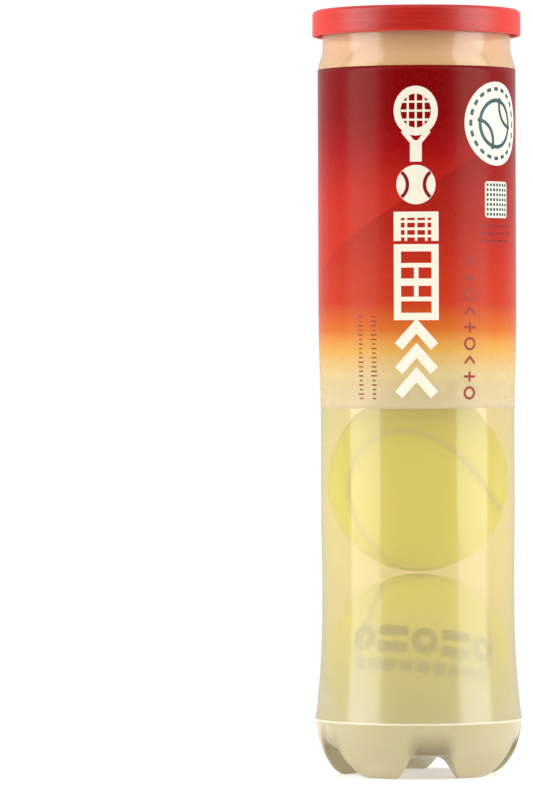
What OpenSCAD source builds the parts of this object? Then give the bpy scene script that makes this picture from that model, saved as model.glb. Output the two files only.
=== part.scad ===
/* [Can] */
// Radius at the waist, the narrowest part of the wall
waist_r = 34.7; // [34.6:0.05:35]
// Radius of the straight wall below the label
belly_r = 35; // [34.8:0.05:35.2]
// Radius of the wall under the label's upper half
chest_r = 35.6; // [35.4:0.05:35.7]
// Radius at the mould ring, where the wall ends and the feet begin
base_r = 37.45; // [37.2:0.05:37.45]
// Radius of the neck's narrowest part
neck_r = 33.95; // [33.9:0.02:34]
// Thickness of the blown wall
wall = 0.45; // [0.35:0.05:0.5]
// Number of feet
feet = 5; // [5:1:6]
// Turn of the feet about the can's axis, in degrees
feet_turn = 5.7; // [0:0.1:72]

/* [Label] */
// Height of the label's lower edge
label_bottom = 132.4; // [110:0.1:150]
// Height of the label's upper edge
label_top = 254.5; // [240:0.1:254.6]
// Thickness of the printed film
film = 0.12; // [0.08:0.01:0.15]

/* [Balls] */
// Number of balls in the stack
balls = 4; // [1:1:4]
// Radius of a ball over its felt
ball_r = 33; // [32.8:0.05:33]
// Thickness of the felt
felt = 3; // [2.6:0.1:3.2]
// Thickness of the rubber core's wall
core_wall = 3.4; // [3:0.1:3.8]
// Width of the cemented seam between the two felt panels
seam_w = 2; // [1.4:0.1:2.6]
// Height of the lowest ball's underside
ball_seat = 6.8; // [6.8:0.01:6.9]

/* [Metal end] */
// Thickness of the aluminium sheet
sheet = 0.3; // [0.25:0.01:0.3]
// Outer radius of the double seam
seam_r = 35.9; // [35.8:0.05:35.9]
// Radius of the opening that the torn panel leaves
mouth_r = 33.3; // [33.3:0.02:33.35]
// Outer radius of the finger ring
ring_r = 12.2; // [11:0.1:13]

/* [Lid] */
// Outer radius of the lid's skirt
lid_r = 37.6; // [37.5:0.05:38]
// Height of the skirt's lower edge
lid_bottom = 266.6; // [266:0.1:267.5]

/* [Hidden] */
BALL_PARTS = ["core_lower", "core_upper", "core_cement", "felt_a", "felt_b", "seam"];
$fn = 96;

// Heights up the can
ring_z = 20.2;      // mould ring
waist_z = 70;       // narrowest part of the wall
belly_z = [95, 130]; // the straight wall below the label
chest_z = 166;      // where the wall stops widening
shoulder_z = 254.6; // where the shoulder starts to close in
neck_z = 262.3;     // where the shoulder has met the neck
finish_z = 274.2;   // top of the flange
cup_z = 6.25;       // underside of the middle of the base
finish_h = 4;       // height of the neck's straight top

// The blown wall's outline
flare_power = 2.8;  // how suddenly the wall flares out above the mould ring
foot_r = 27;        // outer edge of a foot's flat pad
pad_w = 2;          // width of the pad, measured along the radius
foot_curve = 1.7;   // exponent of the foot's outer curve, where 2 is an ellipse
cup_r = 9;          // the middle of the base is flat inside this radius
strap_r = 27.5;     // the strap between two feet turns upwards here
strap_z = 8.3;      // height of the strap there
strap_top = 17.8;   // height at which the strap meets the wall
strap_rim = 36.5;   // radius of the strap there
valley_half = 10.8; // half the valley's width at the floor
valley_taper = 0.4; // how much that half narrows for each millimetre of height
finish_r = 34.1;    // radius of the neck's top, inside the seam
flange_r = 35.35;   // the flange's outer edge
flange_t = 0.4;     // its thickness
body_hook = 1.6;    // how far its turned edge hangs down
ring_proud = 0.15;  // how far the mould ring stands out
ring_root = 0.3;    // half its height where it meets the wall

// The printed sleeve
film_gap = 0.03;    // between the wall and the film
lap_start = 90;     // where the film's end starts to overlap, in degrees
lap_turn = 10;      // how far it overlaps

// The ball's seam is the curve x = a cos t + b cos 3t, y = a sin t - b sin 3t, z = 2 sqrt(ab) sin 2t
seam_a = 0.794;
seam_b = 1 - seam_a;
SEAM_STEPS = 60;
REACH = 130;        // how far the cone that cuts out a felt panel goes beyond the ball
ball_gap = 0.1;     // between two balls of the stack
cement_t = 0.2;     // the core's glue line
seam_sunk = 0.9;    // how far the seam lies below the felt
// Turns about X, Y and Z of each ball, lowest first
BALL_TURNS = [[8, -10, 135], [-16, -36, 41], [40, 25, 10], [70, -20, 60]];

// The metal end and its tab
panel_z = 271.4;    // underside of the tear-off panel
panel_t = 0.25;
score = 0.08;       // gap left by the score line
seam_top = 274.8;
hook_z = 272.1;     // lower edge of the double seam
hook_r = 34.5;      // inner radius of the hook turned in under the flange
hook_h = 1.2;       // height of that hook
seam_bevel = 0.4;   // bevel of the seam's top corners
hinge_y = 21.5;     // the tab folds here
hinge_z = 272.4;
tab_t = 0.45;
knuckle_r = 0.45;
ring_y = 8.5;       // centre of the finger ring
ring_hole_r = 8.6;
ring_t = 0.9;
rivet_y = 26;
rivet_r = 1.6;
rivet_head = 2.7;
head_t = 0.35;      // thickness of the rivet's head
head_gap = 0.02;    // between the tab and that head
nose_w = 11;
nose_reach = 32.4;  // radius at which the nose's tip ends
fold_gap = 0.3;     // between the ring's knuckle and the nose
neck_y = 17;        // where the ring's neck begins
// Radius and rise of the panel's beads, from its score line inwards
PANEL_BEADS = [
    [mouth_r - score, 0], [32.2, 0], [31.6, 0.3], [30.2, 0.3], [29.6, 0],
    [19.4, 0], [18.8, 0.15], [17.8, 0.15], [17.2, 0], [0, 0]
];

// The lid
lid_top = 276;
lid_wall = 1.1;
lid_recess = 0.5;   // depth of the flat recess in its top
recess_r = 32;
bead_r = 36.05;     // inner radius of the snap bead
bead_drop = 0.9;    // how far the bead lies below the seam's lower edge
lid_roof = 0.45;    // thickness of its top
lid_round = 1.8;    // radius of its outer corner

function smooth(t) = let (u = min(max(t, 0), 1)) u * u * (3 - 2 * u);
function mix(a, b, t) = a + (b - a) * t;

// Outer radius of the wall at a height above the mould ring
function wall_r(z) =
    z < waist_z ? mix(waist_r, base_r, pow((waist_z - z) / (waist_z - ring_z), flare_power))
    : z < belly_z[1] ? mix(waist_r, belly_r, smooth((z - waist_z) / (belly_z[0] - waist_z)))
    : z < shoulder_z ? mix(belly_r, chest_r, smooth((z - belly_z[1]) / (chest_z - belly_z[1])))
    : mix(chest_r, neck_r, smooth((z - shoulder_z) / (neck_z - shoulder_z)));

// Heights at which the wall's outline has a corner
WALL_ZS = concat(
    [ring_z, ring_z + 0.6],
    [for (z = [24:5:69]) z],
    [for (i = [0:5]) mix(waist_z + 4, belly_z[0], i / 5)],
    [for (i = [0:8]) mix(belly_z[1], chest_z, i / 8)],
    [for (i = [0:8]) mix(shoulder_z, neck_z, i / 8)]
);

module can_wall() {
    outside = [for (z = WALL_ZS) [wall_r(z), z]];
    inside = [for (i = [len(WALL_ZS) - 1:-1:0]) [wall_r(WALL_ZS[i]) - wall, WALL_ZS[i]]];
    top_in = finish_r - wall;
    flange = [
        [finish_r, finish_z - finish_h],
        [finish_r, finish_z - flange_t],
        [flange_r - flange_t, finish_z - flange_t],
        [flange_r - flange_t, finish_z - body_hook],
        [flange_r, finish_z - body_hook],
        [flange_r, finish_z],
        [top_in, finish_z],
        [top_in, finish_z - finish_h]
    ];
    rotate_extrude() polygon(concat(outside, flange, inside));
}

// The foot's outline from the mould ring to the middle of the base, set in by t
function foot_outline(t) = concat(
    [for (a = [0:10:90]) [
        foot_r + (base_r - t - foot_r) * pow(cos(a), 2 / foot_curve),
        ring_z - (ring_z - t) * pow(sin(a), 2 / foot_curve)
    ]],
    [for (i = [0:7]) let (s = i / 7) [
        mix(foot_r - pad_w, cup_r, s),
        t + cup_z * smooth(s)
    ]]
);

// The strap's outline, which crosses the base between the feet, set in by t
function strap_outline(t) = concat(
    [for (a = [0:15:90]) [
        strap_r + (strap_rim - t - strap_r) * cos(a),
        mix(strap_top, strap_z + t, sin(a))
    ]],
    [[cup_r, cup_z + t]]
);

module turned_solid(outline, top) {
    rotate_extrude() polygon(concat(
        [[0, outline[len(outline) - 1][1]], [0, top], [outline[0][0], top]], outline
    ));
}

// A trapezoid bar along the radius, which opens a valley between two feet
module valley_bar(t) {
    low = -1;
    high = strap_top - t;
    half = function (z) valley_half - valley_taper * z + t;
    rotate([90, 0, 90]) linear_extrude(50) polygon([
        [-half(low), low], [half(low), low], [half(high), high], [-half(high), high]
    ]);
}

// The base as a solid, t inside its outer surface
module base_solid(t) {
    difference() {
        turned_solid(foot_outline(t), ring_z);
        for (i = [0:feet - 1]) rotate([0, 0, feet_turn - 90 + i * 360 / feet]) valley_bar(t);
    }
    turned_solid(strap_outline(t), strap_top + 1);
}

module mould_ring() {
    rotate_extrude() polygon([
        [base_r - wall / 2, ring_z - ring_root], [base_r - wall / 2, ring_z + ring_root],
        [base_r + ring_proud, ring_z + ring_root / 2], [base_r + ring_proud, ring_z - ring_root / 2]
    ]);
}

module can_body() {
    color([0.93, 0.86, 0.68, 0.5]) union() {
        can_wall();
        mould_ring();
        difference() {
            base_solid(0);
            union() {
                base_solid(wall);
                translate([0, 0, ring_z - 0.5]) cylinder(r = base_r - wall, h = 1);
            }
        }
    }
}

// A film that follows the wall, from one offset to another
module film_section(in, out) {
    zs = concat([for (i = [0:8]) mix(label_bottom, chest_z, i / 8)], [label_top]);
    last = len(zs) - 1;
    polygon(concat(
        [for (z = zs) [wall_r(z) + out, z]],
        [for (i = [last:-1:0]) [wall_r(zs[i]) + in, zs[i]]]
    ));
}

module label_sleeve() {
    color([0.83, 0.13, 0.12]) union() {
        rotate_extrude() film_section(film_gap, film_gap + film);
        rotate([0, 0, lap_start]) rotate_extrude(angle = lap_turn)
            film_section(film_gap + film / 2, film_gap + 2 * film);
    }
}

module seam_ring() {
    chuck = mouth_r + sheet;
    color([0.85, 0.86, 0.87]) rotate_extrude() polygon([
        [mouth_r, panel_z], [chuck, panel_z], [chuck, seam_top - sheet],
        [seam_r - sheet, seam_top - sheet], [seam_r - sheet, hook_z + sheet],
        [hook_r + sheet, hook_z + sheet], [hook_r + sheet, hook_z + hook_h],
        [hook_r, hook_z + hook_h], [hook_r, hook_z],
        [seam_r, hook_z], [seam_r, seam_top - seam_bevel], [seam_r - seam_bevel, seam_top],
        [mouth_r + seam_bevel, seam_top], [mouth_r, seam_top - seam_bevel]
    ]);
}

module sealing_compound() {
    color([0.55, 0.55, 0.52]) translate([0, 0, finish_z]) difference() {
        cylinder(r = flange_r, h = seam_top - sheet - finish_z);
        translate([0, 0, -1]) cylinder(r = finish_r - wall, h = 3);
    }
}

// The panel is one sheet with two pressed beads, and its rivet is drawn up from it
module tear_panel() {
    last = len(PANEL_BEADS) - 1;
    stem_top = hinge_z + tab_t / 2;
    color([0.88, 0.88, 0.86]) union() {
        rotate_extrude() polygon(concat(
            [for (p = PANEL_BEADS) [p[0], p[1] + panel_z]],
            [for (i = [last:-1:0]) [PANEL_BEADS[i][0], PANEL_BEADS[i][1] + panel_z + panel_t]]
        ));
        translate([0, rivet_y, panel_z + panel_t / 2])
            cylinder(r = rivet_r, h = stem_top - panel_z);
        translate([0, rivet_y, stem_top + head_gap]) cylinder(r = rivet_head, h = head_t);
    }
}

// The riveted end of the tab, whose tip presses on the score line
module tab_nose() {
    low = hinge_z - tab_t / 2;
    color([0.8, 0.81, 0.82]) difference() {
        intersection() {
            translate([-nose_w / 2, hinge_y + knuckle_r + fold_gap, low]) cube([nose_w, 12, tab_t]);
            translate([0, 0, low]) cylinder(r = nose_reach, h = tab_t);
        }
        translate([0, rivet_y, low - 1]) cylinder(r = rivet_r + 0.15, h = 3);
    }
}

module pull_ring() {
    edge = 0.25;
    color([0.8, 0.81, 0.82]) translate([0, 0, hinge_z]) union() {
        translate([0, ring_y, 0]) rotate_extrude() polygon([
            [ring_hole_r, -ring_t / 2 + edge], [ring_hole_r + edge, -ring_t / 2],
            [ring_r - edge, -ring_t / 2], [ring_r, -ring_t / 2 + edge],
            [ring_r, ring_t / 2 - edge], [ring_r - edge, ring_t / 2],
            [ring_hole_r + edge, ring_t / 2], [ring_hole_r, ring_t / 2 - edge]
        ]);
        difference() {
            translate([-nose_w / 2, neck_y, -tab_t / 2]) cube([nose_w, hinge_y - neck_y, tab_t]);
            translate([0, ring_y, -1]) cylinder(r = ring_hole_r + 1, h = 2);
        }
        translate([-nose_w / 2, hinge_y, 0]) rotate([0, 90, 0]) cylinder(r = knuckle_r, h = nose_w);
    }
}

module snap_lid() {
    inner = lid_r - lid_wall;
    under = lid_top - lid_recess - lid_roof;
    bead_z = hook_z - bead_drop;
    color([0.86, 0.13, 0.1]) rotate_extrude() polygon(concat(
        [[0, under], [recess_r + 0.6, under], [inner - 0.6, under], [inner, under - 0.5]],
        [[inner, bead_z + 0.6], [bead_r, bead_z + 0.2], [bead_r, bead_z - 0.2], [inner, bead_z - 0.6]],
        [[inner, lid_bottom + 0.3], [inner + 0.3, lid_bottom], [lid_r, lid_bottom]],
        [for (a = [0:15:90]) [
            lid_r - 0.1 - lid_round * (1 - cos(a)),
            lid_top - lid_round * (1 - sin(a))
        ]],
        [[recess_r + 0.5, lid_top], [recess_r, lid_top - lid_recess], [0, lid_top - lid_recess]]
    ));
}

// A point of the ball's seam on a unit sphere
function seam_point(t) = [
    seam_a * cos(t) + seam_b * cos(3 * t),
    seam_a * sin(t) - seam_b * sin(3 * t),
    2 * sqrt(seam_a * seam_b) * sin(2 * t)
];
function unit(v) = v / norm(v);
// That point moved to the left of the curve by half the seam's width
function panel_edge(t) =
    let (p = seam_point(t), side = unit(cross(p, seam_point(t + 1) - seam_point(t - 1))))
    unit(p + side * (seam_w / 2 / (ball_r - felt / 2)));

// Everything that lies over one felt panel, seen from the ball's centre
module panel_cone() {
    edge = [for (i = [0:SEAM_STEPS - 1]) REACH * panel_edge(360 * i / SEAM_STEPS)];
    n = SEAM_STEPS;
    polyhedron(
        points = concat([[0, 0, 0], [0, 0, REACH]], edge),
        faces = concat(
            [for (i = [0:n - 1]) [0, 2 + i, 2 + (i + 1) % n]],
            [for (i = [0:n - 1]) [1, 2 + (i + 1) % n, 2 + i]]
        )
    );
}

module shell(out, in) {
    difference() {
        sphere(r = out);
        sphere(r = in);
    }
}

module core_half(side) {
    out = ball_r - felt;
    color([0.25, 0.24, 0.22]) intersection() {
        shell(out, out - core_wall);
        translate([-out - 1, -out - 1, side > 0 ? cement_t / 2 : -out - 1 - cement_t / 2])
            cube([2 * out + 2, 2 * out + 2, out + 1]);
    }
}

module core_cement() {
    out = ball_r - felt;
    color([0.85, 0.8, 0.66]) intersection() {
        shell(out, out - core_wall);
        translate([0, 0, -cement_t / 2]) cylinder(r = out + 1, h = cement_t);
    }
}

module felt_panel(turn) {
    color([0.8, 0.9, 0.2]) intersection() {
        shell(ball_r, ball_r - felt);
        rotate([turn, 0, 0]) panel_cone();
    }
}

module felt_seam() {
    color([0.85, 0.85, 0.78]) difference() {
        sphere(r = ball_r - seam_sunk);
        sphere(r = ball_r - felt);
        panel_cone();
        rotate([180, 0, 0]) panel_cone();
    }
}

module ball_part(part) {
    if (part == "core_lower") core_half(-1);
    if (part == "core_upper") core_half(1);
    if (part == "core_cement") core_cement();
    if (part == "felt_a") felt_panel(0);
    if (part == "felt_b") felt_panel(180);
    if (part == "seam") felt_seam();
}

module ball_piece(n, part) {
    rise = ball_seat + ball_r + (n - 1) * (2 * ball_r + ball_gap);
    translate([0, 0, rise]) rotate(BALL_TURNS[n - 1]) ball_part(part);
}

can_body();
label_sleeve();
seam_ring();
sealing_compound();
tear_panel();
tab_nose();
pull_ring();
snap_lid();
for (n = [1:balls], p = BALL_PARTS)
    ball_piece(n, p);
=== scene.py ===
"""The looks of a clear tennis ball can: its wall, sleeve, metal end, lid and the balls inside.

Lengths are metres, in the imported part's own frame: +Z up the can, -Y towards the sleeve's front.
"""
import logging
import math
import random
from dataclasses import dataclass, field
from enum import Enum
from typing import Callable, Sequence, Union

import bmesh
import bpy
from mathutils import Euler, Matrix, Vector, kdtree, noise


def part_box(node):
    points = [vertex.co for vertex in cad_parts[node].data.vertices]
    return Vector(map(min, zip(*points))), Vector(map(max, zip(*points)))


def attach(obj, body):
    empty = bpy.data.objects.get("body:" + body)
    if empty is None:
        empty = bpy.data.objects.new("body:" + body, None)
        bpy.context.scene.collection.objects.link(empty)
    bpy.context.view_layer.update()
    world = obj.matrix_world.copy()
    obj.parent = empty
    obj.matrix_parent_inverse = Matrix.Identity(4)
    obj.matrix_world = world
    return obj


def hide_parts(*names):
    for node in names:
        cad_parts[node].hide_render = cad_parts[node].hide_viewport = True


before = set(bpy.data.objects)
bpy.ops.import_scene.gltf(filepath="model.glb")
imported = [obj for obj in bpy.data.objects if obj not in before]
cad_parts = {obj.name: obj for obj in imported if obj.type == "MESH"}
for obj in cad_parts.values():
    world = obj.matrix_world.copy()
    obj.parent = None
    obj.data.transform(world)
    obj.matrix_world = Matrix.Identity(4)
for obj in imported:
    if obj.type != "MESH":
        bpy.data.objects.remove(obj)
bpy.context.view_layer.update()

LOG = logging.getLogger("ball_can")
MM = 0.001
FULL_TURN = math.tau
FEET_TURN = 5.7  # degrees, from the front to the first valley between two feet
CREASE = 0.7  # radians, the angle above which an edge is shaded sharp
NO_CREASE = 3.0  # radians, so that a whole piece is shaded smooth
Colour = tuple[float, float, float]
Outline = Sequence[tuple[float, float]]


def smooth(value: float) -> float:
    """Eases a share from 0 to 1, flat at both ends."""
    share = min(max(value, 0.0), 1.0)
    return share * share * (3 - 2 * share)


def mix(low: float, high: float, share: float) -> float:
    """Gives the value at a share of the way from low to high."""
    return low + (high - low) * share


def steps(count: int) -> list[float]:
    """Gives count + 1 shares, evenly from 0 to 1."""
    return [index / count for index in range(count + 1)]


def dimmed(tone: Colour, share: float) -> Colour:
    """Gives a colour at a share of its brightness."""
    return tuple(share * part for part in tone)


# ---------------------------------------------------------------- shading


class Signal:
    """A number that comes out of a node's socket, with arithmetic that adds Math nodes."""

    def __init__(self, graph: "Graph", socket: bpy.types.NodeSocket) -> None:
        """Keeps the socket and the graph that it belongs to."""
        self.graph = graph
        self.socket = socket

    def _math(self, operation: str, first: "Number", second: "Number") -> "Signal":
        """Adds one Math node.

        Args:
            operation: The Math node's operation.
            first: The first operand.
            second: The second operand.

        Returns:
            The node's result.
        """
        return self.graph.signal("ShaderNodeMath", {"operation": operation}, {0: first, 1: second})

    def __add__(self, other: "Number") -> "Signal":
        """Adds a number or signal."""
        return self._math("ADD", self, other)

    __radd__ = __add__

    def __sub__(self, other: "Number") -> "Signal":
        """Subtracts a number or signal."""
        return self._math("SUBTRACT", self, other)

    def __rsub__(self, other: "Number") -> "Signal":
        """Subtracts this signal from a number."""
        return self._math("SUBTRACT", other, self)

    def __mul__(self, other: "Number") -> "Signal":
        """Multiplies by a number or signal."""
        return self._math("MULTIPLY", self, other)

    __rmul__ = __mul__

    def power(self, exponent: float) -> "Signal":
        """Raises the signal to a power."""
        return self._math("POWER", self, exponent)

    def fall(self, start: float, end: float) -> "Signal":
        """Eases from 0 at start to 1 at end, and holds outside them.

        Args:
            start: The value at which the result is 0.
            end: The value at which the result is 1.

        Returns:
            The eased share.
        """
        sockets = {"Value": self, "From Min": start, "From Max": end}
        return self.graph.signal("ShaderNodeMapRange", {"interpolation_type": "SMOOTHSTEP"}, sockets)


Number = Union[Signal, float]


class Graph:
    """The node tree of one material, with short ways to add nodes."""

    def __init__(self, name: str) -> None:
        """Makes an empty node material.

        Args:
            name: The material's name.
        """
        self.material = bpy.data.materials.new(name)
        self.material.use_nodes = True
        self.tree = self.material.node_tree
        self.tree.nodes.clear()
        self.place = self.node("ShaderNodeTexCoord", {}, {}).outputs["Object"]
        parts = self.node("ShaderNodeSeparateXYZ", {}, {0: self.place})
        self.x, self.y, self.z = (Signal(self, socket) for socket in parts.outputs)

    def node(self, kind: str, settings: dict, inputs: dict) -> bpy.types.Node:
        """Adds a node.

        Args:
            kind: The node's type.
            settings: Its properties, set first.
            inputs: Values or links, by the socket's name or number.

        Returns:
            The node.
        """
        made = self.tree.nodes.new(kind)
        for key, value in settings.items():
            setattr(made, key, value)
        for key, value in inputs.items():
            socket = value.socket if isinstance(value, Signal) else value
            if isinstance(socket, bpy.types.NodeSocket):
                self.tree.links.new(socket, made.inputs[key])
            else:
                made.inputs[key].default_value = socket
        return made

    def signal(self, kind: str, settings: dict, inputs: dict, output: Union[int, str] = 0) -> Signal:
        """Adds a node and gives one of its results as a signal.

        Args:
            kind: The node's type.
            settings: Its properties.
            inputs: Its sockets' values or links.
            output: The output socket's name or number.

        Returns:
            The signal.
        """
        return Signal(self, self.node(kind, settings, inputs).outputs[output])

    def noise(self, scale: float, detail: float = 3.0, stretch: tuple[float, float, float] = (1, 1, 1),
              shift: float = 0.0) -> Signal:
        """Gives a cloud pattern around 0.5 in the piece's own space.

        Args:
            scale: Lumps per metre.
            detail: Octaves of finer lumps.
            stretch: Factors on X, Y and Z before the pattern is read.
            shift: How far the pattern is moved on along X, Y and Z.

        Returns:
            The pattern's value.
        """
        sockets = {"Vector": self.place, "Scale": stretch, "Location": (shift, shift, shift)}
        placed = self.node("ShaderNodeMapping", {}, sockets).outputs[0]
        return self.signal("ShaderNodeTexNoise", {}, {"Vector": placed, "Scale": scale, "Detail": detail})

    def around(self) -> Signal:
        """Gives the turn about the can's axis in radians, 0 at the front and growing to the right."""
        return self.signal("ShaderNodeMath", {"operation": "ARCTAN2"}, {0: self.x, 1: self.y * -1.0})

    def ramp(self, value: Signal, stops: Sequence[tuple[float, Colour]]) -> bpy.types.NodeSocket:
        """Looks a value up in a row of colours.

        Args:
            value: The value, from 0 to 1.
            stops: Places and colours in rising order.

        Returns:
            The colour socket.
        """
        made = self.node("ShaderNodeValToRGB", {}, {0: value})
        elements = made.color_ramp.elements
        while len(elements) < len(stops):
            elements.new(0.5)
        for element, (place, colour) in zip(elements, stops):
            element.position = place
            element.color = (*colour, 1.0)
        return made.outputs[0]

    def blend(self, share: Number, first: object, second: object) -> bpy.types.NodeSocket:
        """Mixes two colours.

        Args:
            share: The second colour's part.
            first: A colour or a colour socket.
            second: A colour or a colour socket.

        Returns:
            The mixed colour's socket.
        """
        colours = [(*c, 1.0) if isinstance(c, tuple) else c for c in (first, second)]
        made = self.node("ShaderNodeMix", {"data_type": "RGBA"}, {0: share, 6: colours[0], 7: colours[1]})
        return made.outputs[2]

    def layered(self, share: Number, under: bpy.types.NodeSocket,
                over: bpy.types.NodeSocket) -> bpy.types.NodeSocket:
        """Mixes two shaders.

        Args:
            share: The second shader's part.
            under: The first shader.
            over: The second shader.

        Returns:
            The mixed shader's socket.
        """
        return self.node("ShaderNodeMixShader", {}, {0: share, 1: under, 2: over}).outputs[0]

    def clear(self, tint: Colour) -> bpy.types.NodeSocket:
        """Adds a see-through shader of one tint."""
        return self.node("ShaderNodeBsdfTransparent", {}, {"Color": (*tint, 1.0)}).outputs[0]

    def bump(self, height: Signal, depth: float, strength: float) -> bpy.types.NodeSocket:
        """Turns a height pattern into a normal.

        Args:
            height: The pattern.
            depth: What a height of 1 stands for, in metres.
            strength: The bump's share.

        Returns:
            The normal's socket.
        """
        sockets = {"Height": height, "Distance": depth, "Strength": strength}
        return self.node("ShaderNodeBump", {}, sockets).outputs[0]

    def principled(self, **sockets: object) -> bpy.types.NodeSocket:
        """Adds the main surface shader.

        Args:
            **sockets: Values or links, with underscores for the spaces in a socket's name.

        Returns:
            The shader's socket.
        """
        inputs = {key.replace("_", " "): value for key, value in sockets.items()}
        return self.node("ShaderNodeBsdfPrincipled", {}, inputs).outputs[0]

    def close(self, shader: bpy.types.NodeSocket) -> bpy.types.Material:
        """Links the shader to the output.

        Args:
            shader: The finished surface shader.

        Returns:
            The material.
        """
        self.node("ShaderNodeOutputMaterial", {}, {"Surface": shader})
        return self.material


class Finish:
    """A surface finish whose material is made once and shared."""

    made: dict = {}

    def paint(self) -> bpy.types.Material:
        """Builds the finish's material."""
        raise NotImplementedError

    def material(self) -> bpy.types.Material:
        """Gives the finish's material, building it on first use."""
        if self not in Finish.made:
            Finish.made[self] = self.paint()
        return Finish.made[self]


@dataclass(frozen=True)
class ClearWall(Finish):
    """Blown polyester: clear and glossy, with a cream haze that thickens towards the feet."""

    haze_mid: float = 0.41
    haze_foot: float = 0.80
    haze_neck: float = 0.58
    haze_drift: float = 0.08
    foot_z: tuple[float, float] = (0.004, 0.094)
    neck_z: tuple[float, float] = (0.225, 0.262)
    mid_cream: Colour = (0.82, 0.70, 0.25)
    foot_cream: Colour = (0.49, 0.42, 0.23)
    # the neck's peach: partly the plastic's amber tint, partly painted reflection of the red lid and label
    # and painted highlight
    neck_tint_and_reflection: Colour = (1.0, 0.56, 0.32)
    valleys: float = 5.0
    valley_turn: float = math.radians(FEET_TURN)
    valley_z: tuple[float, float] = (0.019, 0.0085)
    # painted shade: the haze colour is darkened down in the valleys between the feet, where the recess lies
    # in shade
    valley_shade_tone: Colour = (0.14, 0.085, 0.025)
    valley_shade_share: float = 0.8
    # painted highlight: a pale band across the mould ring's ridge
    ridge_low: tuple[float, float] = (0.0196, 0.02)
    ridge_high: tuple[float, float] = (0.0203, 0.0207)
    ridge_highlight_tone: Colour = (0.95, 0.90, 0.70)
    ridge_highlight_share: float = 0.7

    def tone(self, graph: Graph, low: Signal, high: Signal) -> bpy.types.NodeSocket:
        """Colours the haze by height; the neck's peach is partly painted reflection of the red lid and
        label, the valleys between the feet get painted shade and the mould ring a painted highlight.

        Args:
            graph: The material's nodes.
            low: The share of the colour of the feet.
            high: The share of the colour of the neck.

        Returns:
            The colour socket.
        """
        cream = graph.blend(low, self.mid_cream, self.foot_cream)
        # partly painted reflection and highlight at the neck
        cream = graph.blend(high, cream, self.neck_tint_and_reflection)
        lobes = {0: (graph.around() - self.valley_turn) * self.valleys}
        valley = graph.signal("ShaderNodeMath", {"operation": "COSINE"}, lobes)
        # painted shade: darker haze in the valleys between the feet, below the mould ring
        deep = valley.fall(0.2, 0.9) * graph.z.fall(*self.valley_z)
        cream = graph.blend(deep * self.valley_shade_share, cream, self.valley_shade_tone)
        # painted highlight along the mould ring
        ring_highlight = graph.z.fall(*self.ridge_low) * (1 - graph.z.fall(*self.ridge_high))
        return graph.blend(ring_highlight * self.ridge_highlight_share, cream, self.ridge_highlight_tone)

    def paint(self) -> bpy.types.Material:
        """Builds the wall's material.

        Returns:
            The material.
        """
        graph = Graph("clear_wall")
        low = 1 - graph.z.fall(*self.foot_z)
        high = graph.z.fall(*self.neck_z)
        drift = graph.noise(38.0, 2.0, (1, 1, 0.35)) - 0.5
        haze = self.haze_mid + low * (self.haze_foot - self.haze_mid)
        haze = haze + high * (self.haze_neck - self.haze_mid) + drift * self.haze_drift
        skin = graph.bump(graph.noise(55.0, 2.0, (1, 1, 0.25)), 0.0006, 0.35)
        milky = graph.principled(
            Base_Color=self.tone(graph, low, high),
            Roughness=0.28,
            Coat_Weight=0.6,
            Coat_Roughness=0.16,
            IOR=1.5,
            Normal=skin,
        )
        blurring = {"Color": (1, 0.98, 0.9, 1), "Roughness": 0.26, "IOR": 1.03}
        blur = graph.node("ShaderNodeBsdfRefraction", {}, blurring).outputs[0]
        frosted = graph.layered(low * 0.8, graph.clear((0.97, 0.90, 0.74)), blur)
        glossing = {"Roughness": low * 0.16 + 0.08, "Normal": skin}
        gloss = graph.node("ShaderNodeBsdfGlossy", {}, glossing).outputs[0]
        aslant = graph.signal("ShaderNodeLayerWeight", {}, {"Blend": 0.5, "Normal": skin}, "Facing")
        shiny = graph.layered(aslant.power(5) * 0.7 + 0.045, frosted, gloss)
        return graph.close(graph.layered(haze, shiny, milky))


@dataclass(frozen=True)
class WallLining(Finish):
    """The inner face of the blown wall: clear, with a faint warm cast."""

    def paint(self) -> bpy.types.Material:
        """Builds the lining's material.

        Returns:
            The material.
        """
        graph = Graph("clear_wall_inside")
        film = graph.principled(Base_Color=(0.9, 0.8, 0.55, 1.0), Roughness=0.2, IOR=1.5)
        streaks = graph.noise(45.0, 2.0, (1, 1, 0.3)) * 0.05
        return graph.close(graph.layered(streaks, graph.clear((0.99, 0.96, 0.90)), film))


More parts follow.
